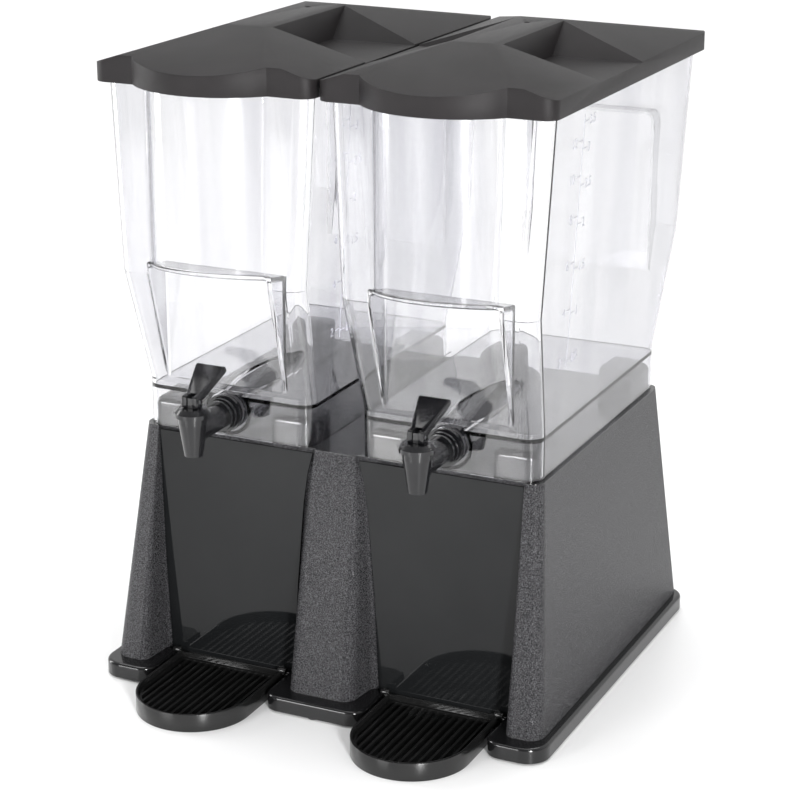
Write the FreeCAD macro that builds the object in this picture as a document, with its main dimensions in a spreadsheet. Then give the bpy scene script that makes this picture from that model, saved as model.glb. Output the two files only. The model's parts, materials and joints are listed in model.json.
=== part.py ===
"""Twin fountain drink dispenser: two clear lift-off reservoirs with lids, on one flared base.

Frame: origin on the counter under the middle of the whole object, +X to the right as seen by the
person who draws a drink, +Y to the back, +Z up, millimetres. The left and right units are the same
parts, each drawn about its own centre plane and placed at minus or plus tank_offset along X.
"""
import FreeCAD, Part
import os
from math import atan2, pi, radians, sqrt

import Sketcher

DIMENSIONS = {
    # whole object
    "tank_offset": 103.5,       # centre plane of each unit from the middle
    # base
    "pad_height": 1.5,
    "flange_half": 212.0,
    "flange_front": -189.0,
    "flange_back": 187.6,
    "flange_top": 15.0,
    "flange_radius": 20.0,
    "flange_edge": 3.0,
    "notch_half": 56.0,         # opening of the flange at each drip tray
    "notch_radius": 15.0,
    "notch_back": -142.0,
    "foot_half": 206.0,         # walls of the base where they meet the counter
    "foot_front": -177.0,
    "foot_back": 186.5,
    "foot_radius": 14.0,
    "deck_half": 187.0,         # walls of the base at the deck
    "deck_front": -138.0,
    "deck_back": 155.0,
    "deck_top": 226.8,
    "deck_radius": 10.0,
    "base_wall": 4.0,
    # bays between the three front pillars, for the right hand side, at five levels
    "level_low": 100.0,
    "level_mid": 177.0,
    "level_high": 205.0,
    "bay_depth_foot": -137.0,
    "bay_depth_deck": -135.0,
    "bay_reach": -200.0,
    "bay_inner_foot": 41.6,     # ends of the bay's flat back
    "bay_inner_low": 36.6,
    "bay_inner_mid": 30.2,
    "bay_inner_high": 26.0,
    "bay_inner_deck": 20.2,
    "bay_outer_foot": 165.0,
    "bay_outer_low": 169.8,
    "bay_outer_mid": 171.6,
    "bay_outer_high": 171.9,
    "bay_outer_deck": 172.2,
    "face_inner": 18.5,         # ends of the pillars' flat faces
    "face_outer_foot": 182.0,
    "face_outer_deck": 172.8,
    "pillar_round": 0.6,        # radius of a pillar's edge as a share of its flank
    "bay_round": 0.3,
    "pillar_proud": 0.02,
    "panel_thick": 2.0,
    "panel_gap": 0.6,
    "panel_bond": 0.1,
    # locating lugs on the deck
    "lug_wide": 38.0,
    "lug_deep": 42.0,
    "lug_top": 251.3,
    "lug_radius": 7.0,
    "lug_sink": 2.0,
    "lug_clear": 2.0,
    # reservoir
    "tank_wall": 3.0,
    "skirt_half": 81.0,
    "skirt_front": -137.5,
    "skirt_back": 152.0,
    "skirt_radius": 14.0,
    "floor_top": 263.5,
    "floor_thick": 3.5,
    "flare_start": 268.0,
    "knee_height": 371.0,
    "knee_half": 87.0,
    "knee_front": -166.0,
    "knee_back": 192.0,
    "mouth_half": 96.0,
    "mouth_front": -162.5,
    "mouth_back": 194.5,
    "tank_top": 544.0,
    "tank_bow_front": -193.0,
    "tank_bow_radius": 65.4,
    "bow_fillet": 6.0,
    "recess_half": 56.0,        # flat front panel under the bow
    "recess_fillet": 2.0,
    "recess_edge": 1.5,
    "recess_depth": -139.0,
    "ledge_height": 373.5,
    "ledge_slope": 0.18,
    "back_recess_half": 59.0,   # flat panel in the back wall
    "back_recess_depth": 176.0,
    "back_recess_top": 474.0,
    "back_recess_radius": 5.0,
    "trough_radius": 22.0,
    "trough_level_end": -112.0,
    "trough_end": 10.0,
    # lid
    "lid_wall": 3.0,
    "lid_half": 101.5,
    "lid_front": -171.0,
    "lid_back": 204.5,
    "lid_radius": 12.0,
    "lid_bottom": 532.8,
    "rim_height": 548.0,
    "plateau_height": 574.5,
    "plateau_half": 18.0,
    "plateau_front": -92.0,
    "plateau_back": 52.0,
    "lid_bow_front": -199.0,
    "lid_bow_radius": 83.6,
    "lid_bow_height": 549.6,
    "pocket_floor": 547.0,
    "pocket_inner": 22.0,
    "pocket_front": -71.0,      # ends of the finger pocket at its floor
    "pocket_back": 26.0,
    "pocket_front_lean": 13.0,
    "pocket_back_lean": 26.0,
    "vent_radius": 2.5,
    "vent_place": 22.0,
    # drip tray and its grate
    "tray_half": 51.5,
    "tray_back": -142.3,
    "peg_radius": 2.6,          # pegs at the tray's rear corners
    "peg_reach": 5.5,
    "peg_set_back": 2.8,
    "tray_nose_centre": -206.0,
    "tray_height": 16.0,
    "tray_wall": 2.2,
    "tray_floor": 2.0,
    "grate_gap": 0.5,
    "grate_rim": 2.5,
    "grate_top": 11.5,
    "rib_count": 13.0,
    "rib_wide": 2.4,
    "rib_high": 3.0,
    # faucet
    "faucet_height": 249.5,     # axis of the shank
    "spout_place": -196.0,      # vertical axis of the spout
    "spout_bottom": 228.0,
    "spout_tip_radius": 7.9,
    "chamber_radius": 12.3,
    "chamber_top": 263.0,
    "outlet_radius": 5.5,
    "valve_seat": 241.0,
    "bore_radius": 8.8,
    "barrel_radius": 11.2,
    "shank_radius": 10.8,
    "shank_hole": 11.3,
    "shank_bore": 5.5,
    "shank_end": -119.0,
    "collar_wide": 16.5,
    "washer_radius": 16.0,
    "washer_thick": 2.5,
    "nut_radius": 16.6,
    "nut_thick": 8.0,
    "thread_gap": 0.15,
    "bonnet_radius": 15.3,
    "bonnet_top": 270.5,
    "bonnet_skirt": 260.0,
    "stem_radius": 5.0,
    "stem_gap": 0.06,
    "tongue_thick": 4.6,
    "pin_height": 276.0,
    "pin_radius": 1.6,
    "heel_half": 5.2,
    "heel_corner": 1.2,
    "stem_shoulder": 7.0,       # drop from the pin to the stem's shoulder, below the heel's corners
    "hub_wide": 14.0,
    "paddle_length": 39.6,
    "paddle_top_wide": 27.4,
    "paddle_thick": 7.0,
    "lever_lean": 59.0,
}

doc = FreeCAD.newDocument("drink_dispenser")
sheet = doc.addObject("Spreadsheet::Sheet", "Sizes")
for row, (alias, size) in enumerate(DIMENSIONS.items(), start=1):
    sheet.set("A%d" % row, alias)
    sheet.set("B%d" % row, str(size))
    sheet.setAlias("B%d" % row, alias)
doc.recompute()

NODES = {}


# ---- expressions, planes and outlines -------------------------------------------------------

def sized(text):
    """An expression on the sheet: $name stands for a cell."""
    return str(text).replace("$", "Sizes.")


def number(text):
    """The present value of an expression on the sheet."""
    return float(sheet.evalExpression(sized(text)))


def bind(target, path, text):
    target.setExpression(path, sized(text))


def vector(*coordinates):
    return FreeCAD.Vector(*coordinates)


def keep(node, thing, side=0, across="0", along="0", up="0"):
    """Registers a sub-part under its node name and puts it at its unit's centre plane.

    Everything is drawn with its Y from the middle of the base; the last shift brings the middle
    of the whole object, from the drip trays' noses to the lids' backs, over the origin.
    """
    thing.Label = node
    middle = "($tray_nose_centre - $tray_half + $lid_back) / 2"
    bind(thing, "Placement.Base.x", "%d * $tank_offset + %s" % (side, across))
    bind(thing, "Placement.Base.y", "%s - %s" % (along, middle))
    bind(thing, "Placement.Base.z", up)
    NODES[node] = thing
    return thing


def new_body(name):
    return doc.addObject("PartDesign::Body", name)


def origin_plane(body, role):
    return next(item for item in body.Origin.OriginFeatures if item.Role == role)


def new_sketch(body, role, offset="0"):
    """A sketch on one of the body's origin planes, moved along that plane's normal.

    The normals are +Z for XY_Plane, -Y for XZ_Plane and +X for YZ_Plane.
    """
    sketch = body.newObject("Sketcher::SketchObject", body.Name + "_sketch")
    sketch.AttachmentSupport = [(origin_plane(body, role), "")]
    sketch.MapMode = "FlatFace"
    bind(sketch, "AttachmentOffset.Base.z", offset)
    return sketch


def constrain(sketch, kind, *places, text):
    """Adds a dimension and binds it to an expression."""
    index = sketch.addConstraint(Sketcher.Constraint(kind, *places, number(text)))
    bind(sketch, "Constraints[%d]" % index, text)


def polygon(sketch, points):
    """A closed outline through points, each a pair of expressions in the sketch's own axes."""
    places = [vector(number(across), number(up), 0) for across, up in points]
    first = sketch.GeometryCount
    count = len(places)
    for k in range(count):
        sketch.addGeometry(Part.LineSegment(places[k], places[(k + 1) % count]), False)
    for k in range(count):
        after = first + (k + 1) % count
        sketch.addConstraint(Sketcher.Constraint("Coincident", first + k, 2, after, 1))
    for k, (across, up) in enumerate(points):
        constrain(sketch, "DistanceX", -1, 1, first + k, 1, text=across)
        constrain(sketch, "DistanceY", -1, 1, first + k, 1, text=up)


def rounded_rectangle(sketch, half, front, back, radius):
    """A closed outline symmetric about the sketch's own vertical, with four equal corners."""
    wide, low, high, turn = (number(text) for text in (half, front, back, radius))
    centres = ((wide - turn, low + turn), (wide - turn, high - turn),
               (turn - wide, high - turn), (turn - wide, low + turn))
    starts = (-90, 0, 90, 180)
    arcs = []
    for (across, up), start in zip(centres, starts):
        circle = Part.Circle(vector(across, up, 0), vector(0, 0, 1), turn)
        arc = Part.ArcOfCircle(circle, radians(start), radians(start + 90))
        arcs.append(arc)
        sketch.addGeometry(arc, False)
    for k in range(4):
        line = Part.LineSegment(arcs[k].EndPoint, arcs[(k + 1) % 4].StartPoint)
        sketch.addGeometry(line, False)
    for k in range(4):
        sketch.addConstraint(Sketcher.Constraint("Tangent", k, 2, 4 + k, 1))
        sketch.addConstraint(Sketcher.Constraint("Tangent", 4 + k, 2, (k + 1) % 4, 1))
    for side in (4, 6):
        sketch.addConstraint(Sketcher.Constraint("Vertical", side))
    for end in (5, 7):
        sketch.addConstraint(Sketcher.Constraint("Horizontal", end))
    for k in (1, 2, 3):
        sketch.addConstraint(Sketcher.Constraint("Equal", 0, k))
    constrain(sketch, "Radius", 0, text=radius)
    constrain(sketch, "DistanceX", -1, 1, 4, 1, text=half)
    constrain(sketch, "DistanceX", 6, 1, -1, 1, text=half)
    constrain(sketch, "DistanceY", -1, 1, 7, 1, text=front)
    constrain(sketch, "DistanceY", -1, 1, 5, 1, text=back)


def circle_at(sketch, across, up, radius):
    place = vector(number(across), number(up), 0)
    index = sketch.addGeometry(Part.Circle(place, vector(0, 0, 1), number(radius)), False)
    constrain(sketch, "Radius", index, text=radius)
    constrain(sketch, "DistanceX", -1, 1, index, 3, text=across)
    constrain(sketch, "DistanceY", -1, 1, index, 3, text=up)


# ---- features ---------------------------------------------------------------------------

def pad(body, sketch, length):
    feature = body.newObject("PartDesign::Pad", body.Name + "_pad")
    feature.Profile = sketch
    bind(feature, "Length", length)
    return feature


def cut_through(body, sketch, half_length):
    """Cuts the sketch's outline out of the body, to half_length on both sides of the sketch."""
    feature = body.newObject("PartDesign::Pocket", body.Name + "_pocket")
    feature.Profile = sketch
    feature.Midplane = True
    bind(feature, "Length", "2 * (%s)" % half_length)
    return feature


def mirrored(body, feature):
    """Repeats a feature on the other side of the body's YZ plane."""
    twin = body.newObject("PartDesign::Mirrored", body.Name + "_mirrored")
    twin.Originals = [feature]
    twin.MirrorPlane = (origin_plane(body, "YZ_Plane"), [""])
    body.Tip = twin
    return twin


def loft(body, sketches, cutting=False):
    kind = "PartDesign::SubtractiveLoft" if cutting else "PartDesign::AdditiveLoft"
    feature = body.newObject(kind, body.Name + "_loft")
    feature.Profile = sketches[0]
    feature.Sections = sketches[1:]
    feature.Ruled = True
    return feature


def revolve(body, sketch):
    """Turns the sketch's outline a full turn about the sketch's own vertical axis."""
    feature = body.newObject("PartDesign::Revolution", body.Name + "_turned")
    feature.Profile = sketch
    feature.ReferenceAxis = (sketch, ["V_Axis"])
    feature.Angle = 360
    return feature


def cylinder(name, radius, length):
    """A cylinder that stands on the origin along +Z."""
    piece = doc.addObject("Part::Cylinder", name)
    bind(piece, "Radius", radius)
    bind(piece, "Height", length)
    return piece


def box(name, wide, deep, high, across="0", along="0", up="0"):
    """A box given by its size and its lowest corner."""
    piece = doc.addObject("Part::Box", name)
    bind(piece, "Length", wide)
    bind(piece, "Width", deep)
    bind(piece, "Height", high)
    for axis, text in zip("xyz", (across, along, up)):
        bind(piece, "Placement.Base." + axis, text)
    return piece


def lying(piece, across, along, up):
    """Lays a turned piece down so that its axis points to the front, and moves it there."""
    piece.Placement.Rotation = FreeCAD.Rotation(vector(1, 0, 0), 90)
    for axis, text in zip("xyz", (across, along, up)):
        bind(piece, "Placement.Base." + axis, text)
    return piece


def subtract(name, whole, tool):
    piece = doc.addObject("Part::Cut", name)
    piece.Base = whole
    piece.Tool = tool
    return piece


def unite(name, pieces):
    piece = doc.addObject("Part::MultiFuse", name)
    piece.Shapes = pieces
    piece.Refine = True
    return piece


def intersect(name, pieces):
    piece = doc.addObject("Part::MultiCommon", name)
    piece.Shapes = pieces
    return piece


def rounded(name, piece, radius, wanted):
    """Rounds the edges of a piece for which wanted(room of the edge) is true."""
    doc.recompute()
    turn = number(radius)
    feature = doc.addObject("Part::Fillet", name)
    feature.Base = piece
    feature.Edges = [(k, turn, turn) for k, edge in enumerate(piece.Shape.Edges, start=1)
                     if wanted(edge.BoundBox)]
    return feature


def soften(body, radius, wanted):
    """Rounds the edges of a body for which wanted(room of the edge) is true."""
    doc.recompute()
    before = body.Tip
    names = ["Edge%d" % k for k, edge in enumerate(before.Shape.Edges, start=1)
             if wanted(edge.BoundBox)]
    feature = body.newObject("PartDesign::Fillet", body.Name + "_fillet")
    feature.Base = (before, names)
    bind(feature, "Radius", radius)
    return feature


# ---- base -------------------------------------------------------------------------------

LEVELS = (("foot", "$pad_height"), ("low", "$level_low"), ("mid", "$level_mid"),
          ("high", "$level_high"), ("deck", "$deck_top"))


def between(foot, deck, level):
    """A size that goes in a straight line from the foot of the base to its deck."""
    share = "((%s - $pad_height) / ($deck_top - $pad_height))" % level
    return "(%s + (%s - %s) * %s)" % (foot, deck, foot, share)


def bay_places(role, level):
    """Depth of the bay's back and of the pillars' faces, and (back end, face end, radii) by side."""
    back = between("$bay_depth_foot", "$bay_depth_deck", level)
    face = between("$foot_front", "$deck_front", level)
    sides = []
    for back_end, face_end in (("$bay_inner_" + role, "$face_inner"),
                               ("$bay_outer_" + role,
                                between("$face_outer_foot", "$face_outer_deck", level))):
        flank = "min(abs(%s - %s); %s - %s)" % (back_end, face_end, back, face)
        sides.append((back_end, face_end, "$bay_round * " + flank, "$pillar_round * " + flank))
    return back, face, sides


def flank_arcs(back_end, face_end, back, face, hollow, crown):
    """The hollow and the crowned arc of a pillar's flank, which one line joins without a kink."""
    hand = 1 if face_end > back_end else -1
    wide = abs(face_end - back_end)
    rest = back - face - hollow - crown
    line = sqrt(wide ** 2 + rest ** 2 - (hollow + crown) ** 2)
    turn = atan2(rest, wide) + atan2(hollow + crown, line)
    arcs = []
    for centre, radius, end in ((vector(back_end, back - hollow, 0), hollow, pi / 2),
                                (vector(face_end, face + crown, 0), crown, -pi / 2)):
        angles = sorted((end, end - hand * turn))
        arcs.append(Part.ArcOfCircle(Part.Circle(centre, vector(0, 0, 1), radius), *angles))
    return arcs


def bay_plan(sketch, role, level):
    """Outline of the right hand bay: flat back, rounded flanks, and open to the front."""
    back, face, sides = bay_places(role, level)
    depth, front, reach = number(back), number(face), number("$bay_reach")
    proud = []
    for back_end, face_end, hollow, crown in sides:
        line_out = front - number("$pillar_proud * " + crown)
        proud.append("%s - $pillar_proud * %s" % (face, crown))
        for arc in flank_arcs(number(back_end), number(face_end), depth, line_out,
                              number(hollow), number(crown)):
            sketch.addGeometry(arc, False)
    hollow_in, crown_in, hollow_out, crown_out = (sketch.Geometry[k] for k in range(4))
    corners = [hollow_in.StartPoint, hollow_out.EndPoint, hollow_out.StartPoint,
               crown_out.StartPoint, crown_out.EndPoint, vector(crown_out.EndPoint.x, reach, 0),
               vector(crown_in.StartPoint.x, reach, 0), crown_in.StartPoint,
               crown_in.EndPoint, hollow_in.EndPoint]
    for start, end in ((0, 1), (2, 3), (4, 5), (5, 6), (6, 7), (8, 9)):
        sketch.addGeometry(Part.LineSegment(corners[start], corners[end]), False)
    rear, flank_out, run_out, mouth, run_in, flank_in = range(4, 10)
    for joint in ((rear, 1, 0, 1), (rear, 2, 2, 2), (flank_out, 1, 2, 1), (flank_out, 2, 3, 1),
                  (flank_in, 1, 1, 2), (flank_in, 2, 0, 2)):
        sketch.addConstraint(Sketcher.Constraint("Tangent", *joint))
    for joint in ((run_out, 1, 3, 2), (run_out, 2, mouth, 1), (mouth, 2, run_in, 1),
                  (run_in, 2, 1, 1)):
        sketch.addConstraint(Sketcher.Constraint("Coincident", *joint))
    for line in (rear, mouth):
        sketch.addConstraint(Sketcher.Constraint("Horizontal", line))
    for line in (run_out, run_in):
        sketch.addConstraint(Sketcher.Constraint("Vertical", line))
    constrain(sketch, "DistanceY", -1, 1, rear, 1, text=back)
    constrain(sketch, "DistanceY", -1, 1, mouth, 1, text="$bay_reach")
    for k, (rear_end, run_end, run) in enumerate(((1, 2, run_in), (2, 1, run_out))):
        back_end, face_end, hollow, crown = sides[k]
        constrain(sketch, "Radius", 2 * k, text=hollow)
        constrain(sketch, "Radius", 2 * k + 1, text=crown)
        constrain(sketch, "DistanceX", -1, 1, rear, rear_end, text=back_end)
        constrain(sketch, "DistanceX", -1, 1, 2 * k + 1, 3, text=face_end)
        constrain(sketch, "DistanceX", -1, 1, run, run_end, text=face_end)
        constrain(sketch, "DistanceY", -1, 1, run, run_end, text=proud[k])


def bay_room(sketch, role, level):
    """Outline of a bay seen from inside the base: straight sides, a wall away from the bay."""
    back, face, sides = bay_places(role, level)
    (inner, inner_face, inner_hollow, _), (outer, outer_face, outer_hollow, _) = sides
    near, far = inner_face + " - $base_wall / 2", outer_face + " + $base_wall / 2"
    polygon(sketch, [
        ("%s - %s - $base_wall" % (inner, inner_hollow), back + " + $base_wall"),
        ("%s + %s + $base_wall" % (outer, outer_hollow), back + " + $base_wall"),
        (far, face + " + $base_wall"), (far, "$bay_reach"),
        (near, "$bay_reach"), (near, face + " + $base_wall")])


def base_solid(name, inset, plan):
    """The flared base as one solid, with its two front bays; inset shrinks it on every wall."""
    body = new_body(name)
    foot = new_sketch(body, "XY_Plane", "$pad_height - " + inset)
    rounded_rectangle(foot, "$foot_half - " + inset, "$foot_front + " + inset,
                      "$foot_back - " + inset, "$foot_radius - " + inset)
    deck = new_sketch(body, "XY_Plane", "$deck_top - " + inset)
    rounded_rectangle(deck, "$deck_half - " + inset, "$deck_front + " + inset,
                      "$deck_back - " + inset, "$deck_radius - " + inset)
    loft(body, [foot, deck])
    plans = []
    for role, level in LEVELS:
        sketch = new_sketch(body, "XY_Plane", "%s - %s" % (level, inset))
        plan(sketch, role, level)
        plans.append(sketch)
    mirrored(body, loft(body, plans, cutting=True))
    return body


def foot_flange():
    """The flat rim round the foot, open at the bays where the drip trays stand."""
    body = new_body("flange")
    rim = new_sketch(body, "XY_Plane", "$pad_height")
    rounded_rectangle(rim, "$flange_half", "$flange_front", "$flange_back", "$flange_radius")
    pad(body, rim, "$flange_top - $pad_height")
    notch = new_sketch(body, "XY_Plane", "$flange_top / 2")
    near, far = "$tank_offset - $notch_half", "$tank_offset + $notch_half"
    polygon(notch, [(near, "$notch_back"), (far, "$notch_back"), (far, "$bay_reach"),
                    (near, "$bay_reach")])
    mirrored(body, cut_through(body, notch, "$flange_top"))
    front = number("$flange_front + 1")
    top = number("$flange_top") - 0.1
    soften(body, "$notch_radius", lambda room: room.YMax < front and room.ZLength > 1
           and room.XLength < 0.1)
    soften(body, "$flange_edge", lambda room: room.ZMin > top)
    return body


def locating_lug(name, across, along):
    """A block on the deck that a reservoir's skirt drops over, round on top and at its corners."""
    block = box(name + "_block", "$lug_wide", "$lug_deep", "$lug_top - $deck_top + $lug_sink",
                across, along, "$deck_top - $lug_sink")
    low = number("$deck_top - $lug_sink") + 1
    return rounded(name, block, "$lug_radius", lambda room: room.ZMax > low)


def lugs():
    """Four lugs under each reservoir, just inside the four corners of its skirt."""
    room = "($tank_wall + $lug_clear)"
    outward = "($skirt_half - %s - $lug_wide)" % room
    blocks = []
    for side in (-1, 1):
        for hand in (-1, 1):
            across = "%d * $tank_offset + %d * (%s + $lug_wide / 2) - $lug_wide / 2" % (
                side, hand, outward)
            name = "lug_%d_%d" % (side + 1, hand + 1)
            blocks.append(locating_lug(name + "_front", across, "$skirt_front + " + room))
            blocks.append(locating_lug(name + "_back", across,
                                       "$skirt_back - %s - $lug_deep" % room))
    return blocks


def base_shell():
    outside = unite("base_outside", [base_solid("base_outer", "0", bay_plan), foot_flange()]
                    + lugs())
    return subtract("base", outside, base_solid("base_inner", "$base_wall", bay_room))


def splash_panel(side):
    """A smooth thin panel that lies against the back of a bay."""
    body = new_body("panel")
    sections = []
    for role, level in LEVELS:
        sketch = new_sketch(body, "XY_Plane", level)
        first = "%d * ($bay_inner_%s + $panel_gap)" % (side, role)
        last = "%d * ($bay_outer_%s - $panel_gap)" % (side, role)
        back = between("$bay_depth_foot", "$bay_depth_deck", level) + " - $panel_bond"
        front = back + " - $panel_thick"
        polygon(sketch, [(first, back), (last, back), (last, front), (first, front)])
        sections.append(sketch)
    loft(body, sections)
    clip = box("panel_clip", "2 * $foot_half", "-$bay_reach",
               "$deck_top - $base_wall - $flange_top", "-$foot_half", "$bay_reach",
               "$flange_top")
    return intersect("panel_plate", [body, clip])


def foot_pads():
    """Rubber pads under the foot flange, at its corners and the middle of its sides."""
    discs = []
    reach = "($flange_half - $flange_radius / 2)"
    for across in (-1, 1):
        for along in ("$flange_front + $flange_radius / 2 + 2", "0",
                      "$flange_back - $flange_radius / 2 - 2"):
            disc = cylinder("pad_disc", "$flange_radius / 4", "$pad_height")
            bind(disc, "Placement.Base.x", "%d * (%s - 2)" % (across, reach))
            bind(disc, "Placement.Base.y", along)
            discs.append(disc)
    middle = cylinder("pad_disc", "$flange_radius / 4", "$pad_height")
    bind(middle, "Placement.Base.y", "$flange_front + $flange_radius / 4 + 1")
    return unite("pads", discs + [middle])


# ---- reservoir --------------------------------------------------------------------------

def tank_solid(name, inset, bottom, top):
    """The reservoir's form from bottom to top; inset shrinks it on every wall."""
    body = new_body(name)
    turn = "$skirt_radius - " + inset
    skirt = ("$skirt_half", "$skirt_front", "$skirt_back")
    knee = ("$knee_half", "$knee_front", "$knee_back")
    mouth = ("$mouth_half", "$mouth_front", "$mouth_back")
    sections = []
    for level, (half, front, back) in ((bottom, skirt), ("$flare_start", skirt),
                                       ("$knee_height", knee), (top, mouth)):
        sketch = new_sketch(body, "XY_Plane", level)
        rounded_rectangle(sketch, "%s - %s" % (half, inset), "%s + %s" % (front, inset),
                          "%s - %s" % (back, inset), turn)
        sections.append(sketch)
    loft(body, sections)

    bow = new_sketch(body, "XY_Plane", "$knee_height")
    circle_at(bow, "0", "$tank_bow_front + $tank_bow_radius", "$tank_bow_radius - " + inset)
    pad(body, bow, "%s - $knee_height" % top)

    beyond = "($tank_bow_front - $tank_wall)"
    depth = "$recess_depth + " + inset
    ledge = "($ledge_height + %s)" % inset
    front_recess = new_sketch(body, "YZ_Plane")
    polygon(front_recess, [
        (depth, ledge), (depth, "$floor_top"), (beyond, "$floor_top"),
        (beyond, "%s + $ledge_slope * (%s - %s)" % (ledge, depth, beyond))])
    cut_through(body, front_recess, "$recess_half + " + inset)

    back_recess = new_sketch(body, "XZ_Plane", "%s - $back_recess_depth" % inset)
    rounded_rectangle(back_recess, "$back_recess_half + " + inset, "$floor_top",
                      "$back_recess_top + " + inset, "$back_recess_radius + " + inset)
    cut = body.newObject("PartDesign::Pocket", body.Name + "_pocket")
    cut.Profile = back_recess
    bind(cut, "Length", "$mouth_back - $back_recess_depth + 2 * $tank_wall")

    half = number("$recess_half + " + inset)
    panel = number(depth)
    floor = number("$floor_top")
    ledge_front = number("$ledge_height + 5")

    def on_side(room):
        return room.XLength < 0.1 and abs(abs(room.XMin) - half) < 0.1

    def bow_corner(room):
        tall = room.ZMin > ledge_front - 1 and room.ZLength > number("$tank_top") / 5
        return tall and room.YMax < panel and max(-room.XMin, room.XMax) < half

    def recess_corner(room):
        back = abs(room.YMax - panel) < 0.1 and floor < room.ZMin
        upright = on_side(room) and (room.YLength < 0.1 or room.ZLength < 10)
        return back and (upright or room.YLength < 0.1 and room.ZMin > floor + 20)

    def recess_rim(room):
        front = room.YMin < panel - 15 and floor < room.ZMin and room.ZMax < ledge_front + 15
        return front and (on_side(room) or room.ZMin > ledge_front - 1
                          and max(-room.XMin, room.XMax) < half + 1)

    soften(body, "$bow_fillet", bow_corner)
    soften(body, "$recess_fillet", recess_corner)
    soften(body, "$recess_edge", recess_rim)
    return body


def trough(body, radius, front):
    """A round channel in the floor, level at the faucet and rising to the floor further back."""
    sections = []
    rise = "($floor_top + $trough_radius - $tank_wall)"
    for along, up in ((front, "$faucet_height"), ("$trough_level_end", "$faucet_height"),
                      ("$trough_end", rise)):
        sketch = new_sketch(body, "XZ_Plane", "-(%s)" % along)
        circle_at(sketch, "0", up, radius)
        sections.append(sketch)
    loft(body, sections)


def reservoir():
    outer = tank_solid("tank_outer", "0", "$deck_top", "$tank_top")
    hollow = new_sketch(outer, "XY_Plane", "$deck_top")
    rounded_rectangle(hollow, "$skirt_half - $tank_wall", "$skirt_front + $tank_wall",
                      "$skirt_back - $tank_wall", "$skirt_radius - $tank_wall")
    cut_through(outer, hollow, "$floor_top - $floor_thick - $deck_top")
    trough(outer, "$trough_radius", "$skirt_front")

    above = "$tank_top + $tank_wall"
    inner = tank_solid("tank_inner", "$tank_wall", "$floor_top", above)
    trough(inner, "$trough_radius - $tank_wall", "$skirt_front + $tank_wall")
    hole = cylinder("shank_clearance", "$shank_hole", "4 * $tank_wall")
    lying(hole, "0", "$skirt_front + 2 * $tank_wall", "$faucet_height")
    return subtract("tank", outer, unite("tank_space", [inner, hole]))


# ---- lid --------------------------------------------------------------------------------

def roof_solid(name, inset):
    """The lid's form, a hipped roof with a bowed front; inset lowers and narrows it."""
    body = new_body(name)
    floor = "($lid_bottom - %s)" % inset
    crown = "($plateau_height - %s)" % inset
    outline = new_sketch(body, "XY_Plane", floor)
    rounded_rectangle(outline, "$lid_half - " + inset, "$lid_front + " + inset,
                      "$lid_back - " + inset, "$lid_radius - " + inset)
    pad(body, outline, "$plateau_height - $lid_bottom")
    bow = new_sketch(body, "XY_Plane", floor)
    circle_at(bow, "0", "$lid_bow_front + $lid_bow_radius", "$lid_bow_radius - " + inset)
    pad(body, bow, "$plateau_height - $lid_bottom")

    rim = "($rim_height - %s)" % inset
    above = "(%s + $lid_wall)" % crown
    cheeks = new_sketch(body, "XZ_Plane")
    for side in (-1, 1):
        polygon_at = ["%d * $plateau_half" % side, "%d * $lid_half" % side]
        polygon(cheeks, [(polygon_at[0], crown), (polygon_at[1], rim),
                         (polygon_at[1], above), (polygon_at[0], above)])
    cut_through(body, cheeks, "2 * $lid_back")

    slopes = new_sketch(body, "YZ_Plane")
    polygon(slopes, [("$plateau_front", crown), ("$lid_bow_front", "$lid_bow_height - " + inset),
                     ("$lid_bow_front", above), ("$plateau_front", above)])
    polygon(slopes, [("$plateau_back", crown), ("$lid_back", rim),
                     ("$lid_back", above), ("$plateau_back", above)])
    cut_through(body, slopes, "2 * $lid_half")
    return body


def finger_pocket(body, side, inset):
    """A pocket in one cheek, open to the side rim; a positive inset makes it larger."""
    sketch = new_sketch(body, "YZ_Plane", "%d * ($pocket_inner + $lid_half) / 2" % side)
    low = "($pocket_floor - %s)" % inset
    rise = "($plateau_height - $pocket_floor)"
    front = "($pocket_front - %s)" % inset
    back = "($pocket_back + %s)" % inset
    polygon(sketch, [(front, low), (back, low),
                     ("%s + $pocket_back_lean" % back, "%s + %s" % (low, rise)),
                     ("%s - $pocket_front_lean" % front, "%s + %s" % (low, rise))])
    cut_through(body, sketch, "($lid_half - $pocket_inner) / 2 + " + inset)


def lid():
    outer = roof_solid("roof_outer", "0")
    inner = roof_solid("roof_inner", "$lid_wall")
    for side in (-1, 1):
        finger_pocket(outer, side, "0")
        finger_pocket(inner, side, "$lid_wall")
    vent = cylinder("vent", "$vent_radius", "3 * $lid_wall")
    bind(vent, "Placement.Base.y", "$vent_place")
    bind(vent, "Placement.Base.z", "$plateau_height - 2 * $lid_wall")
    return subtract("roof", outer, unite("roof_space", [inner, vent]))


# ---- drip tray --------------------------------------------------------------------------

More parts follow.
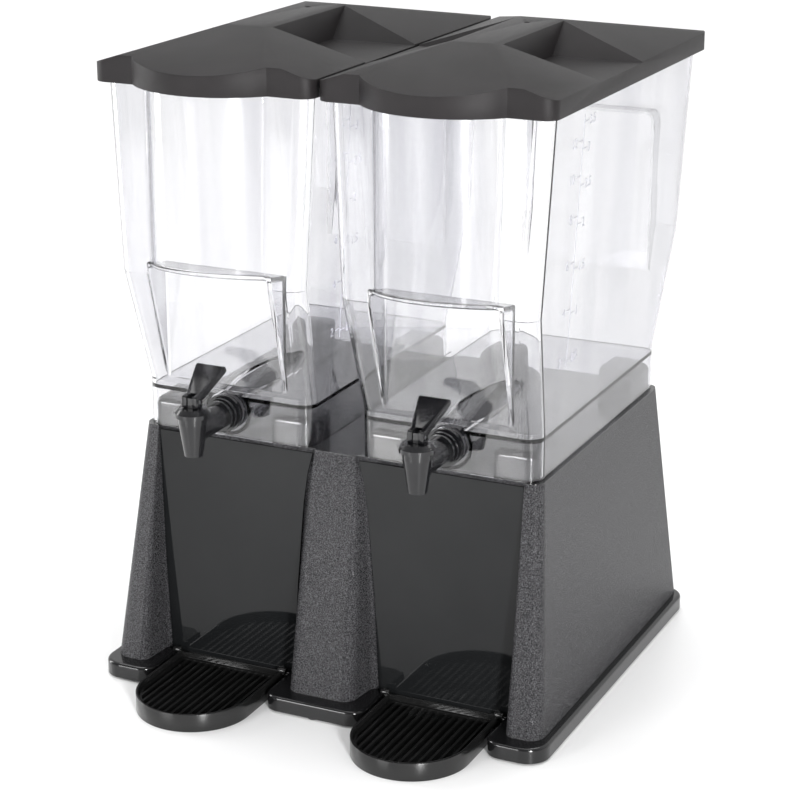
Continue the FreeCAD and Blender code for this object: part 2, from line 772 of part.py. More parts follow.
def tray_outline(sketch, inset):
    """Plan of the tray: a straight rear edge, straight sides and a half-round nose."""
    gap = number(inset)
    wide = number("$tray_half") - gap
    back = number("$tray_back") - gap
    nose = number("$tray_nose_centre")
    corners = [vector(wide, nose, 0), vector(wide, back, 0), vector(-wide, back, 0),
               vector(-wide, nose, 0)]
    for start, end in zip(corners, corners[1:]):
        sketch.addGeometry(Part.LineSegment(start, end), False)
    circle = Part.Circle(vector(0, nose, 0), vector(0, 0, 1), wide)
    sketch.addGeometry(Part.ArcOfCircle(circle, radians(180), radians(360)), False)
    right, rear, left, arc = range(4)
    for pair in ((right, 2, rear, 1), (rear, 2, left, 1), (left, 2, arc, 1),
                 (arc, 2, right, 1)):
        sketch.addConstraint(Sketcher.Constraint("Coincident", *pair))
    for side in (left, right):
        sketch.addConstraint(Sketcher.Constraint("Vertical", side))
    constrain(sketch, "DistanceX", left, 2, -1, 1, text="$tray_half - " + inset)
    constrain(sketch, "DistanceX", -1, 1, right, 1, text="$tray_half - " + inset)
    for end in (1, 2):
        constrain(sketch, "DistanceY", -1, 1, rear, end, text="$tray_back - " + inset)
    for end in (1, 2, 3):
        constrain(sketch, "DistanceY", -1, 1, arc, end, text="$tray_nose_centre")


def tray_block(name, inset, bottom, height):
    body = new_body(name)
    outline = new_sketch(body, "XY_Plane", bottom)
    tray_outline(outline, inset)
    pad(body, outline, height)
    return body


def drip_tray():
    """An open dish with a round peg out of each side at the rear, above the foot flange."""
    whole = tray_block("tray_outer", "0", "0", "$tray_height")
    dish = subtract("dish", whole, tray_block("tray_space", "$tray_wall", "$tray_floor",
                                              "$tray_height"))
    pegs = []
    for side in (-1, 1):
        peg = cylinder("tray_peg", "$peg_radius", "$tray_wall + $peg_reach")
        peg.Placement.Rotation = FreeCAD.Rotation(vector(0, 1, 0), side * 90)
        bind(peg, "Placement.Base.x", "%d * ($tray_half - $tray_wall)" % side)
        bind(peg, "Placement.Base.y", "$tray_back - $peg_set_back")
        bind(peg, "Placement.Base.z", "$tray_height + 0.75 * $peg_radius")
        pegs.append(peg)
    return unite("tray", [dish] + pegs)


def drip_grate():
    """A loose grid of front-to-back ribs in a ring that stands on the tray's floor."""
    room = "($tray_wall + $grate_gap)"
    high = "($grate_top - $tray_floor)"
    ring = subtract("grate_ring", tray_block("ring_outer", room, "$tray_floor", high),
                    tray_block("ring_space", "(%s + $grate_rim)" % room, "$tray_floor - 1",
                               high + " + 2"))
    clip = tray_block("rib_clip", "(%s + $grate_rim / 2)" % room, "$tray_floor", high)
    count = int(number("$rib_count"))
    pitch = "(2 * ($tray_half - %s) / ($rib_count + 1))" % room
    long = "($tray_back - $tray_nose_centre + $tray_half)"
    ribs = []
    for k in range(count):
        across = "%g * %s - $rib_wide / 2" % (k - (count - 1) / 2, pitch)
        ribs.append(box("rib", "$rib_wide", long, "$rib_high", across,
                        "$tray_nose_centre - $tray_half",
                        "$grate_top - $rib_high - $tray_floor / 4"))
    grid = intersect("grate_ribs", [unite("rib_row", ribs), clip])
    return unite("grate", [ring, grid])


# ---- faucet -----------------------------------------------------------------------------

def turned(name, points, plane="XZ_Plane"):
    """A turned piece whose half section goes through points of (radius, height)."""
    body = new_body(name)
    sketch = new_sketch(body, plane)
    polygon(sketch, points)
    revolve(body, sketch)
    return body


def standing(piece):
    bind(piece, "Placement.Base.y", "$spout_place")
    return piece


def shank_profile():
    """Half section of the barrel and its collars: radius against distance in front of the wall."""
    wall = "(-$skirt_front)"
    face = "(%s + $washer_thick)" % wall
    spout = "(-$spout_place)"
    steps = [("$collar_wide", face, face + " + 5"), ("$barrel_radius + 1.6", face + " + 5",
             face + " + 7"), ("$barrel_radius + 3.6", face + " + 7", face + " + 10.5"),
             ("$barrel_radius + 1.2", face + " + 10.5", face + " + 12.5"),
             ("$barrel_radius + 2.6", face + " + 12.5", face + " + 15.5")]
    points = [("0", "-$shank_end"), ("$shank_radius", "-$shank_end"), ("$shank_radius", face)]
    for radius, start, end in steps:
        points += [(radius, start), (radius, end)]
    points += [("$barrel_radius", face + " + 15.5"), ("$barrel_radius", spout), ("0", spout)]
    return points


def faucet_body():
    """Spout, valve chamber, barrel and threaded shank in one moulding."""
    bowl = standing(turned("chamber", [
        ("0", "$spout_bottom"), ("$spout_tip_radius", "$spout_bottom"),
        ("$chamber_radius", "$chamber_top - 6"), ("$chamber_radius", "$chamber_top"),
        ("0", "$chamber_top")]))
    shank = lying(turned("shank", shank_profile()), "0", "0", "$faucet_height")
    outlet = standing(cylinder("outlet", "$outlet_radius", "$valve_seat"))
    chamber = standing(cylinder("chamber_bore", "$bore_radius", "$chamber_top"))
    bind(chamber, "Placement.Base.z", "$valve_seat")
    passage = lying(cylinder("passage", "$shank_bore", "-$spout_place + $shank_end + 1"),
                    "0", "$shank_end + 1", "$faucet_height")
    return subtract("faucet", unite("faucet_outside", [bowl, shank]),
                    unite("faucet_ways", [outlet, chamber, passage]))


def on_shank(name, blank, long):
    """A blank of the given length with a hole for the shank, its axis pointing to the front."""
    hole = cylinder(name + "_hole", "$shank_radius + $thread_gap", "2 * (%s)" % long)
    bind(hole, "Placement.Base.z", "-(%s) / 2" % long)
    piece = subtract(name, blank, hole)
    piece.Placement.Rotation = FreeCAD.Rotation(vector(1, 0, 0), 90)
    return piece


def washer(radius, thick):
    return on_shank("washer", cylinder("washer_disc", radius, thick), thick)


def shank_nut():
    """The six-sided nut that holds the shank from inside the trough."""
    prism = doc.addObject("Part::Prism", "nut_prism")
    prism.Polygon = 6
    bind(prism, "Circumradius", "$nut_radius")
    bind(prism, "Height", "$nut_thick")
    return on_shank("nut", prism, "$nut_thick")


def bonnet():
    """The cap on the valve chamber: a plug in the bore, a collar on top and a hole for the stem."""
    hole = "($stem_radius + $stem_gap)"
    return turned("bonnet", [
        (hole, "$bonnet_skirt"), ("$bore_radius - $stem_gap", "$bonnet_skirt"),
        ("$bore_radius - $stem_gap", "$chamber_top"), ("$bonnet_radius", "$chamber_top"),
        ("$bonnet_radius", "$chamber_top + 3.6"), ("$bonnet_radius - 3.4", "$bonnet_top"),
        (hole, "$bonnet_top")])


def valve_stem():
    """A round stem with a flat tongue on top for the lever's pin and a disc for the seat cup."""
    rod = standing(turned("rod", [
        ("0", "$valve_seat + 3"), ("$stem_radius - 1.5", "$valve_seat + 3"),
        ("$stem_radius - 1.5", "$valve_seat + 9"), ("$stem_radius", "$valve_seat + 9"),
        ("$stem_radius", "$pin_height - $stem_shoulder"),
        ("0", "$pin_height - $stem_shoulder")]))
    tongue = box("tongue", "$tongue_thick", "2 * $stem_radius - 2",
                 "$stem_shoulder + 2 * $pin_radius + 1", "-$tongue_thick / 2",
                 "$spout_place - $stem_radius + 1", "$pin_height - $stem_shoulder - 1")
    hole = pin_cylinder("stem_hole", "$pin_radius + $stem_gap", "4 * $tongue_thick")
    return subtract("stem", unite("stem_outside", [rod, tongue]), hole)


def pin_cylinder(name, radius, length):
    """A cylinder on the lever's pivot axis, centred on the unit's centre plane."""
    piece = cylinder(name, radius, length)
    piece.Placement.Rotation = FreeCAD.Rotation(vector(0, 1, 0), 90)
    bind(piece, "Placement.Base.x", "-(%s) / 2" % length)
    bind(piece, "Placement.Base.y", "$spout_place")
    bind(piece, "Placement.Base.z", "$pin_height")
    return piece


def seat_cup():
    """The soft cup on the end of the stem that closes the outlet."""
    grip = "($stem_radius - 1.5)"
    return turned("cup", [
        ("0", "$valve_seat"), ("$outlet_radius + 1", "$valve_seat"),
        ("$bore_radius - 1", "$valve_seat + 2"), ("$bore_radius - 1.6", "$valve_seat + 8.5"),
        (grip, "$valve_seat + 8.5"), (grip, "$valve_seat + 3"), ("0", "$valve_seat + 3")])


def paddle():
    """The lever's tapered blade, drawn upright over its pivot and then leant back."""
    body = new_body("paddle")
    face = new_sketch(body, "XZ_Plane")
    polygon(face, [("-$hub_wide / 2", "2"), ("$hub_wide / 2", "2"),
                   ("$paddle_top_wide / 2", "$paddle_length - 3.5"),
                   ("$paddle_top_wide / 2", "$paddle_length"),
                   ("-$paddle_top_wide / 2", "$paddle_length"),
                   ("-$paddle_top_wide / 2", "$paddle_length - 3.5")])
    slab = pad(body, face, "$paddle_thick")
    slab.Midplane = True
    doc.recompute()
    rim = body.newObject("PartDesign::Chamfer", "paddle_rim")
    half = number("$paddle_thick") / 2 - 0.1
    rims = ["Edge%d" % k for k, edge in enumerate(slab.Shape.Edges, start=1)
            if edge.BoundBox.YLength < 0.1 and abs(edge.BoundBox.YMax) > half
            and edge.BoundBox.ZMax > number("$heel_half") + 1]
    rim.Base = (slab, rims)
    rim.Size = 1.2
    for k in range(-3, 4):
        groove = new_sketch(body, "XZ_Plane")
        middle = "%d * $paddle_top_wide / 9" % k
        top = "$paddle_length + 1"
        polygon(groove, [("%s - 0.9" % middle, top), ("%s + 0.9" % middle, top),
                         (middle, "$paddle_length - 0.9")])
        cut_through(body, groove, "$paddle_thick")
    body.Placement.Rotation = FreeCAD.Rotation(vector(1, 0, 0), -number("$lever_lean"))
    return body


def lever():
    """The blade on a square forked heel, whose corner rides on the bonnet and lifts the stem."""
    heel = new_body("heel")
    side_view = new_sketch(heel, "YZ_Plane")
    flat = "($heel_half - $heel_corner)"
    polygon(side_view, [
        ("-" + flat, "-$heel_half"), (flat, "-$heel_half"), ("$heel_half", "-" + flat),
        ("$heel_half", flat), (flat, "$heel_half"), ("-" + flat, "$heel_half"),
        ("-$heel_half", flat), ("-$heel_half", "-" + flat)])
    block = pad(heel, side_view, "$hub_wide")
    block.Midplane = True
    slot = box("heel_slot", "$tongue_thick + 0.8", "3 * $heel_half", "2.3 * $heel_half",
               "-$tongue_thick / 2 - 0.4", "-1.5 * $heel_half", "-$heel_half - 1")
    bore = pin_cylinder("heel_bore", "$pin_radius", "2 * $hub_wide")
    bind(bore, "Placement.Base.y", "0")
    bind(bore, "Placement.Base.z", "0")
    return subtract("lever", unite("lever_outside", [paddle(), heel]),
                    unite("lever_ways", [slot, bore]))


# ---- the object -------------------------------------------------------------------------

keep("base_shell", base_shell())
keep("foot_pads", foot_pads())
for side, sign in (("left", -1), ("right", 1)):
    keep("splash_panel_" + side, splash_panel(sign))
    keep("drip_tray_" + side, drip_tray(), sign)
    keep("drip_grate_" + side, drip_grate(), sign)
    keep("reservoir_" + side, reservoir(), sign)
    keep("lid_" + side, lid(), sign)
    keep("faucet_body_" + side, faucet_body(), sign)
    keep("outer_washer_" + side, washer("$washer_radius", "$washer_thick"), sign,
         along="$skirt_front", up="$faucet_height")
    keep("inner_washer_" + side, washer("$washer_radius - 1", "$washer_thick / 2"), sign,
         along="$skirt_front + $tank_wall + $washer_thick / 2", up="$faucet_height")
    keep("shank_nut_" + side, shank_nut(), sign,
         along="$skirt_front + $tank_wall + $washer_thick / 2 + $nut_thick",
         up="$faucet_height")
    keep("faucet_bonnet_" + side, bonnet(), sign, along="$spout_place")
    keep("valve_stem_" + side, valve_stem(), sign)
    keep("seat_cup_" + side, seat_cup(), sign, along="$spout_place")
    keep("faucet_lever_" + side, lever(), sign, along="$spout_place", up="$pin_height")
    keep("lever_pin_" + side, pin_cylinder("pin", "$pin_radius", "$hub_wide"), sign,
         across="-$hub_wide / 2", along="$spout_place", up="$pin_height")

doc.recompute()

for thing in doc.Objects:
    if "Invalid" in thing.State or "Error" in thing.State:
        raise RuntimeError("%s is %s" % (thing.Name, thing.State))
for node, thing in NODES.items():
    if thing.Shape.isNull() or not thing.Shape.isValid():
        raise RuntimeError("%s has no valid shape" % node)

os.makedirs("parts", exist_ok=True)
for node, thing in NODES.items():
    thing.Shape.exportStep(os.path.join("parts", node + ".step"))
    room = thing.Shape.BoundBox
    print("%-22s %3d solid %9.1f cm3  x %7.1f %7.1f  y %7.1f %7.1f  z %6.1f %6.1f" % (
        node, len(thing.Shape.Solids), thing.Shape.Volume / 1000, room.XMin, room.XMax,
        room.YMin, room.YMax, room.ZMin, room.ZMax))
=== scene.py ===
import json
import math

import bmesh
import bpy
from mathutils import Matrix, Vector
from mathutils.bvhtree import BVHTree

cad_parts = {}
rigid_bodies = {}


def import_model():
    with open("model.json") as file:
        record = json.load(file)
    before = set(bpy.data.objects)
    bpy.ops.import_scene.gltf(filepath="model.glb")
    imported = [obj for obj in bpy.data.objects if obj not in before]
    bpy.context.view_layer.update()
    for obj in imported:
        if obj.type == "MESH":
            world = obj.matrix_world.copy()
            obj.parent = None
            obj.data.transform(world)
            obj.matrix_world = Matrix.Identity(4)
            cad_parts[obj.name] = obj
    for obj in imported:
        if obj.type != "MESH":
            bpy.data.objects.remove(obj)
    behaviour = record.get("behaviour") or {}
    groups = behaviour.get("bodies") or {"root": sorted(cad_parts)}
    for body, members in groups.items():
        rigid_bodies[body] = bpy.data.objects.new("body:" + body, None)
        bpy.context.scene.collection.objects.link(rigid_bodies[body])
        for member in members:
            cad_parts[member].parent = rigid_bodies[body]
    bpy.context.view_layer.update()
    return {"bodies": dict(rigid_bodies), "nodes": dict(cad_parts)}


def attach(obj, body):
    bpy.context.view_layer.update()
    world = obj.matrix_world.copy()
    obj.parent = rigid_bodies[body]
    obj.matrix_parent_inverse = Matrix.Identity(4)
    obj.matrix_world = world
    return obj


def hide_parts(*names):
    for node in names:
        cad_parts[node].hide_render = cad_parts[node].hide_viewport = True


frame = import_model()
nodes = frame["nodes"]
SIDES = ("left", "right")


# ---- node material helpers -------------------------------------------------------------------

class Shader:
    """A node tree being written, with short calls for the nodes the materials share."""

    def __init__(self, name):
        self.material = bpy.data.materials.new(name)
        self.material.use_nodes = True
        self.tree = self.material.node_tree
        self.tree.nodes.clear()
        self.output = self.tree.nodes.new("ShaderNodeOutputMaterial")
        self.place = self.tree.nodes.new("ShaderNodeTexCoord").outputs["Object"]

    def node(self, kind, values=None, **inputs):
        """A new node; inputs are named as in Blender, with _ for each space."""
        made = self.tree.nodes.new(kind)
        for key, value in (values or {}).items():
            setattr(made, key, value)
        for key, value in inputs.items():
            self.feed(made.inputs[key.replace("_", " ")], value)
        return made

    def feed(self, socket, value):
        """Link another node's output to a socket, or set the socket to a plain value."""
        if isinstance(value, bpy.types.NodeSocket):
            self.tree.links.new(value, socket)
        else:
            socket.default_value = value

    def noise(self, scale, detail=2.0, roughness=0.5):
        made = self.node("ShaderNodeTexNoise", Vector=self.place, Scale=scale, Detail=detail,
                         Roughness=roughness)
        return made.outputs["Fac"]

    def cells(self, scale):
        made = self.node("ShaderNodeTexVoronoi", Vector=self.place, Scale=scale)
        return made.outputs["Distance"]

    def spread(self, value, low, high, from_low=0.3, from_high=0.7):
        """The range from_low to from_high laid onto low to high, and held there beyond it."""
        made = self.node("ShaderNodeMapRange", Value=value)
        made.inputs["From Min"].default_value = from_low
        made.inputs["From Max"].default_value = from_high
        made.inputs["To Min"].default_value = low
        made.inputs["To Max"].default_value = high
        return made.outputs["Result"]

    def times(self, first, second):
        made = self.node("ShaderNodeMath", {"operation": "MULTIPLY"})
        self.feed(made.inputs[0], first)
        self.feed(made.inputs[1], second)
        return made.outputs["Value"]

    def height(self):
        """Height above the table in metres, with the object at rest."""
        return self.node("ShaderNodeSeparateXYZ", Vector=self.place).outputs["Z"]

    def streaks(self, scale):
        """Noise that runs down the piece."""
        drawn = self.node("ShaderNodeMapping", Vector=self.place, Scale=(1.0, 1.0, 0.06))
        made = self.node("ShaderNodeTexNoise", Vector=drawn.outputs["Vector"], Scale=scale,
                         Detail=3.0)
        return made.outputs["Fac"]

    def tones(self, value, dark, light, start=0.3, stop=0.7):
        """A colour from dark at start to light at stop."""
        made = self.node("ShaderNodeValToRGB", Fac=value)
        first, last = made.color_ramp.elements
        first.position, last.position = start, stop
        first.color, last.color = (*dark, 1), (*light, 1)
        return made.outputs["Color"]

    def bump(self, height, strength, distance, normal=None):
        made = self.node("ShaderNodeBump", Height=height, Strength=strength, Distance=distance)
        if normal is not None:
            self.feed(made.inputs["Normal"], normal)
        return made.outputs["Normal"]

    def surface(self, socket):
        self.feed(self.output.inputs["Surface"], socket)
        return self.material

    def principled(self, **inputs):
        return self.surface(self.node("ShaderNodeBsdfPrincipled", **inputs).outputs["BSDF"])


GRAIN_BEGINS = (0.0150, 0.0157)     # heights over which the grain comes in above the flange
GRAIN_ENDS = (0.2258, 0.2266)       # and goes out again below the deck


def grained_plastic():
    """Black moulding: coarse grain on the walls, smooth on the flange and deck. The grain's
    light flecks in the colour are partly painted glints.
    """
    s = Shader("base_textured")
    height = s.height()
    walls = s.times(s.spread(height, 0.0, 1.0, *GRAIN_BEGINS),
                    s.spread(height, 1.0, 0.0, *GRAIN_ENDS))
    grain_and_painted_glints = s.times(s.spread(s.noise(980.0, 2.0, 0.75), 0.05, 1.0, 0.40, 0.62), walls)
    bumpy = s.bump(grain_and_painted_glints, 1.0, 0.0006)
    bumpy = s.bump(s.times(s.cells(2400.0), walls), 0.3, 0.0001, bumpy)
    shine = s.times(s.spread(walls, 1.0, 0.40, 0.0, 1.0),
                    s.spread(height, 0.5, 1.0, *GRAIN_ENDS))
    # the colour's light flecks are partly the moulding's grain tone and partly painted glints
    return s.principled(
        Base_Color=s.tones(grain_and_painted_glints, (0.006, 0.006, 0.0065), (0.088, 0.087, 0.093), 0.0, 1.0),
        Roughness=s.spread(grain_and_painted_glints, 0.15, 0.27, 0.0, 0.3), Normal=bumpy,
        Specular_IOR_Level=shine)


def panel_plastic():
    """Polished dark sheet of the splash panels, with faint wiping marks."""
    s = Shader("panel_gloss")
    wipe = s.noise(9.0, 6.0, 0.6)
    return s.principled(
        Base_Color=s.tones(wipe, (0.006, 0.0065, 0.007), (0.009, 0.0095, 0.010)),
        Roughness=s.spread(wipe, 0.02, 0.06), Normal=s.bump(s.noise(38.0, 2.0), 0.01, 0.001),
        Specular_IOR_Level=0.20)


def gloss_plastic(name, dark, light, low, high):
    """Smooth moulded black plastic with slight orange peel."""
    s = Shader(name)
    peel = s.noise(420.0, 2.0)
    return s.principled(
        Base_Color=s.tones(s.noise(30.0, 3.0), dark, light),
        Roughness=s.spread(s.noise(60.0, 4.0), low, high),
        Normal=s.bump(peel, 0.06, 0.0003))


def lid_plastic():
    """Fine matte texture of the lids."""
    s = Shader("lid_plastic")
    fine = s.noise(1900.0, 2.0, 0.7)
    return s.principled(
        Base_Color=s.tones(s.noise(26.0, 4.0), (0.011, 0.0098, 0.0103),
                           (0.016, 0.0143, 0.0150)),
        Roughness=s.spread(fine, 0.34, 0.50), Normal=s.bump(fine, 0.6, 0.0003),
        Specular_IOR_Level=0.16)


def rubber():
    """Matt rubber of the foot pads."""
    s = Shader("pad_rubber")
    fine = s.noise(700.0, 3.0)
    return s.principled(
        Base_Color=s.tones(fine, (0.012, 0.012, 0.012), (0.022, 0.022, 0.022)),
        Roughness=s.spread(fine, 0.65, 0.85), Normal=s.bump(fine, 0.3, 0.0003))


def silicone():
    """Dark silicone of the washers and seat cups."""
    s = Shader("silicone")
    fine = s.noise(500.0, 2.0)
    return s.principled(
        Base_Color=s.tones(fine, (0.020, 0.020, 0.022), (0.035, 0.035, 0.037)),
        Roughness=s.spread(fine, 0.38, 0.55), Normal=s.bump(fine, 0.15, 0.0002))


def pin_metal():
    """Drawn steel of the lever pins."""
    s = Shader("pin_steel")
    fine = s.noise(1200.0, 2.0)
    return s.principled(
        Base_Color=s.tones(fine, (0.48, 0.48, 0.50), (0.62, 0.62, 0.64)), Metallic=1.0,
        Roughness=s.spread(fine, 0.22, 0.36))


MIX_FACTOR, MIX_FIRST, MIX_SECOND, MIX_RESULT = 0, 6, 7, 2     # colour sockets of a Mix node


def clear_plastic():
    """Clear moulded polycarbonate with a streaky ripple; its colour carries painted reflection
    streaks, and painted shade where the eye grazes a wall.
    """
    s = Shader("clear_polycarbonate")
    streak = s.streaks(24.0)
    ripple = s.bump(streak, 0.05, 0.003)
    # the plastic's own pale tint, with painted reflection streaks running down it
    body = s.tones(streak, (0.86, 0.86, 0.88), (0.985, 0.985, 0.99), 0.32, 0.60)
    # painted shade: the colour darkens where the eye grazes a wall, in place of dark edge
    # reflections
    painted_edge_shade = s.tones(s.node("ShaderNodeLayerWeight", Blend=0.5).outputs["Facing"],
                  (1.0, 1.0, 1.0), (0.27, 0.27, 0.31), 0.25, 1.0)
    # the plastic's tint multiplied by the painted streaks and the painted edge shade
    tint_and_painted_light = s.node("ShaderNodeMix", {"data_type": "RGBA", "blend_type": "MULTIPLY"})
    tint_and_painted_light.inputs[MIX_FACTOR].default_value = 1.0
    s.feed(tint_and_painted_light.inputs[MIX_FIRST], body)
    s.feed(tint_and_painted_light.inputs[MIX_SECOND], painted_edge_shade)
    glass = s.node("ShaderNodeBsdfPrincipled", Base_Color=tint_and_painted_light.outputs[MIX_RESULT],
                   Roughness=s.spread(s.noise(40.0, 3.0), 0.0, 0.02), IOR=1.49, Normal=ripple,
                   Transmission_Weight=1.0)
    clear = s.node("ShaderNodeBsdfTransparent", Color=(0.90, 0.895, 0.92, 1))
    path = s.node("ShaderNodeLightPath")
    mix = s.node("ShaderNodeMixShader", Fac=path.outputs["Is Shadow Ray"])
    s.feed(mix.inputs[1], glass.outputs["BSDF"])
    s.feed(mix.inputs[2], clear.outputs["BSDF"])
    return s.surface(mix.outputs["Shader"])


def frosted_mark():
    """Raised measuring marks with a dull skin."""
    s = Shader("frosted_marks")
    fine = s.noise(800.0, 2.0)
    return s.principled(
        Base_Color=s.tones(fine, (0.30, 0.30, 0.33), (0.42, 0.42, 0.45)),
        Roughness=s.spread(fine, 0.45, 0.6), Normal=s.bump(fine, 0.2, 0.0002))


def pale_floor():
    """Near white table top, with a dim reflection."""
    s = Shader("studio_floor")
    tone = s.noise(3.0, 3.0)
    return s.principled(Base_Color=s.tones(tone, (0.88, 0.88, 0.88), (0.90, 0.90, 0.90)),
                        Roughness=s.spread(tone, 0.35, 0.42))


MATERIALS = {
    "base_shell": grained_plastic(),
    "foot_pads": rubber(),
    "splash_panel": panel_plastic(),
    "drip_tray": gloss_plastic("tray_gloss", (0.006, 0.006, 0.006), (0.010, 0.010, 0.010),
                               0.12, 0.22),
    "reservoir": clear_plastic(),
    "lid": lid_plastic(),
    "faucet": gloss_plastic("faucet_plastic", (0.006, 0.006, 0.007), (0.011, 0.011, 0.012),
                            0.10, 0.20),
    "silicone": silicone(),
    "lever_pin": pin_metal(),
    "marks": frosted_mark(),
}
MATERIALS["drip_grate"] = MATERIALS["drip_tray"]
FAUCET_NODES = ("faucet_body", "faucet_bonnet", "faucet_lever", "shank_nut", "valve_stem")
SILICONE_NODES = ("outer_washer", "inner_washer", "seat_cup")


def material_of(name):
    """The material of a CAD node, whichever side it is on."""
    stem = name.rsplit("_", 1)[0] if name.endswith(("_left", "_right")) else name
    if stem in FAUCET_NODES:
        return MATERIALS["faucet"]
    if stem in SILICONE_NODES:
        return MATERIALS["silicone"]
    return MATERIALS[stem]


def dress(piece, material):
    piece.data.materials.clear()
    piece.data.materials.append(material)


for name, node in nodes.items():
    dress(node, material_of(name))


# ---- pieces with softened edges --------------------------------------------------------------

EDGE_WIDTHS = {"lid": 0.0011, "drip_tray": 0.0005, "faucet_lever": 0.0004}
FLAT_UNDER = math.radians(0.5)      # faces that meet at less than this become one
ROUND_OVER = math.radians(40.0)     # folds over this are rounded
SHARP_OVER = math.radians(35.0)     # any left over this are shaded as sharp edges


def frame_body(name):
    """Name of the CAD body a node rides on."""
    return next(body for body, empty in frame["bodies"].items()
                if empty == nodes[name].parent)


def softened(name, width):
    """A copy of a CAD node with its sharp edges rounded, shown instead of it."""
    work = bmesh.new()
    work.from_mesh(nodes[name].data)
    bmesh.ops.remove_doubles(work, verts=work.verts, dist=1e-6)
    bmesh.ops.dissolve_limit(work, angle_limit=FLAT_UNDER, verts=work.verts, edges=work.edges)
    sharp = [edge for edge in work.edges
             if len(edge.link_faces) == 2 and edge.calc_face_angle() > ROUND_OVER]
    bmesh.ops.bevel(work, geom=sharp, offset=width, offset_type="OFFSET", segments=2,
                    profile=0.5, affect="EDGES", clamp_overlap=True)
    bmesh.ops.triangulate(work, faces=work.faces)
    mesh = bpy.data.meshes.new(name + "_soft")
    work.to_mesh(mesh)
    work.free()
    mesh.shade_smooth()
    mesh.set_sharp_from_angle(angle=SHARP_OVER)
    piece = bpy.data.objects.new(name + "_soft", mesh)
    bpy.context.scene.collection.objects.link(piece)
    dress(piece, material_of(name))
    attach(piece, frame_body(name))
    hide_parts(name)


for side in SIDES:
    for stem, width in EDGE_WIDTHS.items():
        softened(stem + "_" + side, width)


# ---- measuring marks on the reservoirs -------------------------------------------------------

MARK_LINE = -0.0615      # where the upright line stands on the right hand wall
MARK_WIDE = 0.0009
MARK_HIGH = 0.00025
MARK_ROOT = 0.0001       # how far a mark goes into the wall, so that it doesn't float
LINE_PAST = 0.006        # how far the upright line runs past the first and last mark
BAR_STEP = 0.004         # about the length of each straight stretch of a bar
TICK_END = 0.009         # from the upright line to the end of a tick
NUMERAL_GAP = 0.011      # from the upright line to a numeral
NUMERAL_DROP = 0.004     # from a tick down to the foot of its numeral
NUMERAL_SIZE = 0.0115
DIGIT_WIDE = 0.0068
RIGHT_OF = {"reservoir_left": -0.004, "reservoir_right": 0.3}  # X to the right of each wall
HALF_GALLONS = (0.319, 0.3595, 0.397, 0.434, 0.466, 0.496, 0.518)
LITRES_IN_HALF_GALLON = 1.8927


def litre_height(litres):
    """Height of a litre mark, between the half gallon marks next to it."""
    step = litres / LITRES_IN_HALF_GALLON - 1
    k = int(step)
    return HALF_GALLONS[k] + (HALF_GALLONS[k + 1] - HALF_GALLONS[k]) * (step - k)


def wall_finder(name):
    """A function that gives the point at (y, z), a distance out from the right hand wall."""
    mesh = nodes[name].data
    tree = BVHTree.FromPolygons([tuple(vertex.co) for vertex in mesh.vertices],
                                [tuple(face.vertices) for face in mesh.polygons])

    def on_wall(y, z, out):
        spot = tree.ray_cast(Vector((RIGHT_OF[name], y, z)), Vector((-1, 0, 0)))[0]
        return Vector((spot.x + out, y, z))

    return on_wall


def add_bar(work, on_wall, y_low, y_high, z_low, z_high):
    """A thin raised strip that follows the wall."""
    steps = max(1, int((z_high - z_low) / BAR_STEP))
    rows = []
    for k in range(steps + 1):
        z = z_low + (z_high - z_low) * k / steps
        rows.append([work.verts.new(on_wall(y, z, out)) for y, out in
                     ((y_low, -MARK_ROOT), (y_high, -MARK_ROOT), (y_high, MARK_HIGH),
                      (y_low, MARK_HIGH))])
    for low, high in zip(rows, rows[1:]):
        for k in range(4):
            work.faces.new((low[k], low[(k + 1) % 4], high[(k + 1) % 4], high[k]))
    work.faces.new(rows[0][::-1])
    work.faces.new(rows[-1])


def add_numeral(work, on_wall, text, y_low, z_low):
    """A raised number that follows the wall, from its lower corner on the front side."""
    curve = bpy.data.curves.new("numeral", "FONT")
    curve.body, curve.size, curve.extrude = text, NUMERAL_SIZE, (MARK_HIGH + MARK_ROOT) / 2
    shape = bpy.data.objects.new("numeral", curve)
    bpy.context.scene.collection.objects.link(shape)
    bpy.context.view_layer.update()
    drawn = bpy.data.meshes.new_from_object(
        shape.evaluated_get(bpy.context.evaluated_depsgraph_get()))
    bpy.data.objects.remove(shape)
    middle = (MARK_HIGH - MARK_ROOT) / 2
    for vertex in drawn.vertices:
        across, up, out = vertex.co
        vertex.co = on_wall(y_low + across, z_low + up, middle + out)
    work.from_mesh(drawn)
    bpy.data.meshes.remove(drawn)


def measuring_marks(side):
    """Half gallons behind the upright line and litres in front of it, as numbers only."""
    on_wall = wall_finder("reservoir_" + side)
    work = bmesh.new()
    add_bar(work, on_wall, MARK_LINE - MARK_WIDE / 2, MARK_LINE + MARK_WIDE / 2,
            HALF_GALLONS[0] - LINE_PAST, HALF_GALLONS[-1] + LINE_PAST)
    for k, z in enumerate(HALF_GALLONS, start=1):
        add_bar(work, on_wall, MARK_LINE + MARK_WIDE, MARK_LINE + TICK_END, z - MARK_WIDE / 2,
                z + MARK_WIDE / 2)
        add_numeral(work, on_wall, "%g" % (k / 2), MARK_LINE + NUMERAL_GAP, z - NUMERAL_DROP)
    for litres in range(2, 13, 2):
        z = litre_height(litres)
        label = "%d" % litres
        add_bar(work, on_wall, MARK_LINE - TICK_END, MARK_LINE - MARK_WIDE, z - MARK_WIDE / 2,
                z + MARK_WIDE / 2)
        add_numeral(work, on_wall, label, MARK_LINE - NUMERAL_GAP - DIGIT_WIDE * len(label),
                    z - NUMERAL_DROP)
    mesh = bpy.data.meshes.new("measuring_marks_" + side)
    work.to_mesh(mesh)
    work.free()
    marks = bpy.data.objects.new("measuring_marks_" + side, mesh)
    bpy.context.scene.collection.objects.link(marks)
    dress(marks, MATERIALS["marks"])
    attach(marks, frame_body("reservoir_" + side))


for side in SIDES:
    measuring_marks(side)


# ---- studio ----------------------------------------------------------------------------------

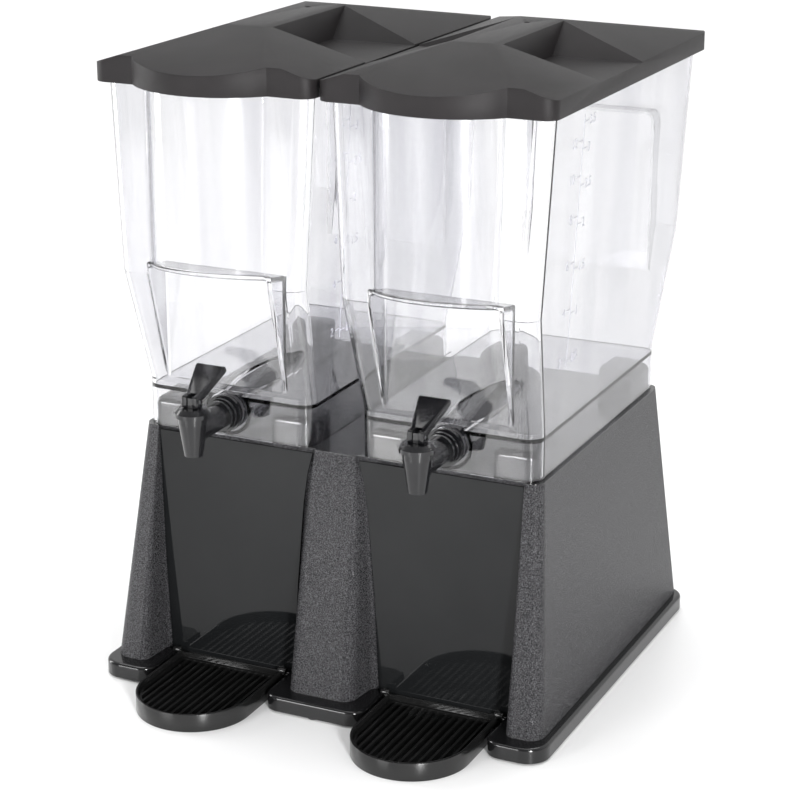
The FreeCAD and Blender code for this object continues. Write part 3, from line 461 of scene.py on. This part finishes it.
FRONT_GLOW = 0.25        # brightness of the studio's walls in front of and behind the object
BACK_GLOW = 1.0
GLOW_CHANGES = (-0.8, 0.6)          # Y of the directions between which one turns into the other
FLOOR_HALF = 6.0
CAMERA_PLACE = (0.8068, -1.7019, 0.8644)    # a camera fitted to the photograph
CAMERA_TILT = 71.674
CAMERA_TURN = 25.129
CAMERA_LENS = 100.75


def make_floor():
    mesh = bpy.data.meshes.new("floor")
    mesh.from_pydata([(-FLOOR_HALF, -FLOOR_HALF, 0), (FLOOR_HALF, -FLOOR_HALF, 0),
                      (FLOOR_HALF, FLOOR_HALF, 0), (-FLOOR_HALF, FLOOR_HALF, 0)],
                     [], [(0, 1, 2, 3)])
    floor = bpy.data.objects.new("studio_floor", mesh)
    bpy.context.scene.collection.objects.link(floor)
    mesh.materials.append(pale_floor())


def area_light(name, place, aim, width, height, power):
    data = bpy.data.lights.new(name, "AREA")
    data.shape, data.size, data.size_y, data.energy = "RECTANGLE", width, height, power
    lamp = bpy.data.objects.new(name, data)
    lamp.location = place
    lamp.rotation_euler = (Vector(aim) - Vector(place)).to_track_quat("-Z", "Y").to_euler()
    bpy.context.scene.collection.objects.link(lamp)


def make_camera():
    data = bpy.data.cameras.new("camera")
    data.lens = CAMERA_LENS
    data.sensor_width = 36.0
    camera = bpy.data.objects.new("camera", data)
    camera.location = CAMERA_PLACE
    camera.rotation_euler = (math.radians(CAMERA_TILT), 0, math.radians(CAMERA_TURN))
    bpy.context.scene.collection.objects.link(camera)
    bpy.context.scene.camera = camera


def make_world():
    world = bpy.data.worlds.new("studio")
    world.use_nodes = True
    tree = world.node_tree
    background = tree.nodes["Background"]
    background.inputs["Color"].default_value = (1.0, 1.0, 1.0, 1)
    way = tree.nodes.new("ShaderNodeTexCoord")
    split = tree.nodes.new("ShaderNodeSeparateXYZ")
    ramp = tree.nodes.new("ShaderNodeMapRange")
    ramp.interpolation_type = "SMOOTHSTEP"
    for socket, value in (("From Min", GLOW_CHANGES[0]), ("From Max", GLOW_CHANGES[1]),
                          ("To Min", FRONT_GLOW), ("To Max", BACK_GLOW)):
        ramp.inputs[socket].default_value = value
    tree.links.new(way.outputs["Generated"], split.inputs["Vector"])
    tree.links.new(split.outputs["Y"], ramp.inputs["Value"])
    tree.links.new(ramp.outputs["Result"], background.inputs["Strength"])
    bpy.context.scene.world = world


def sun_light(aim, strength, spread):
    data = bpy.data.lights.new("sky_panel", "SUN")
    data.energy, data.angle = strength, math.radians(spread)
    lamp = bpy.data.objects.new("sky_panel", data)
    lamp.rotation_euler = Vector(aim).to_track_quat("-Z", "Y").to_euler()
    bpy.context.scene.collection.objects.link(lamp)


make_floor()
make_world()
sun_light((0.12, -0.18, -1.0), 1.75, 50.0)
area_light("left_softbox", (-2.4, -0.2, 0.7), (0, 0, 0.3), 0.5, 1.6, 22.0)
area_light("right_softbox", (1.9, -2.3, 0.7), (0, 0, 0.3), 0.30, 1.4, 110.0)
area_light("front_softbox", (-1.25, -2.8, 0.75), (0, 0, 0.25), 1.0, 0.8, 38.0)
make_camera()
bpy.context.scene.view_settings.view_transform = "Standard"
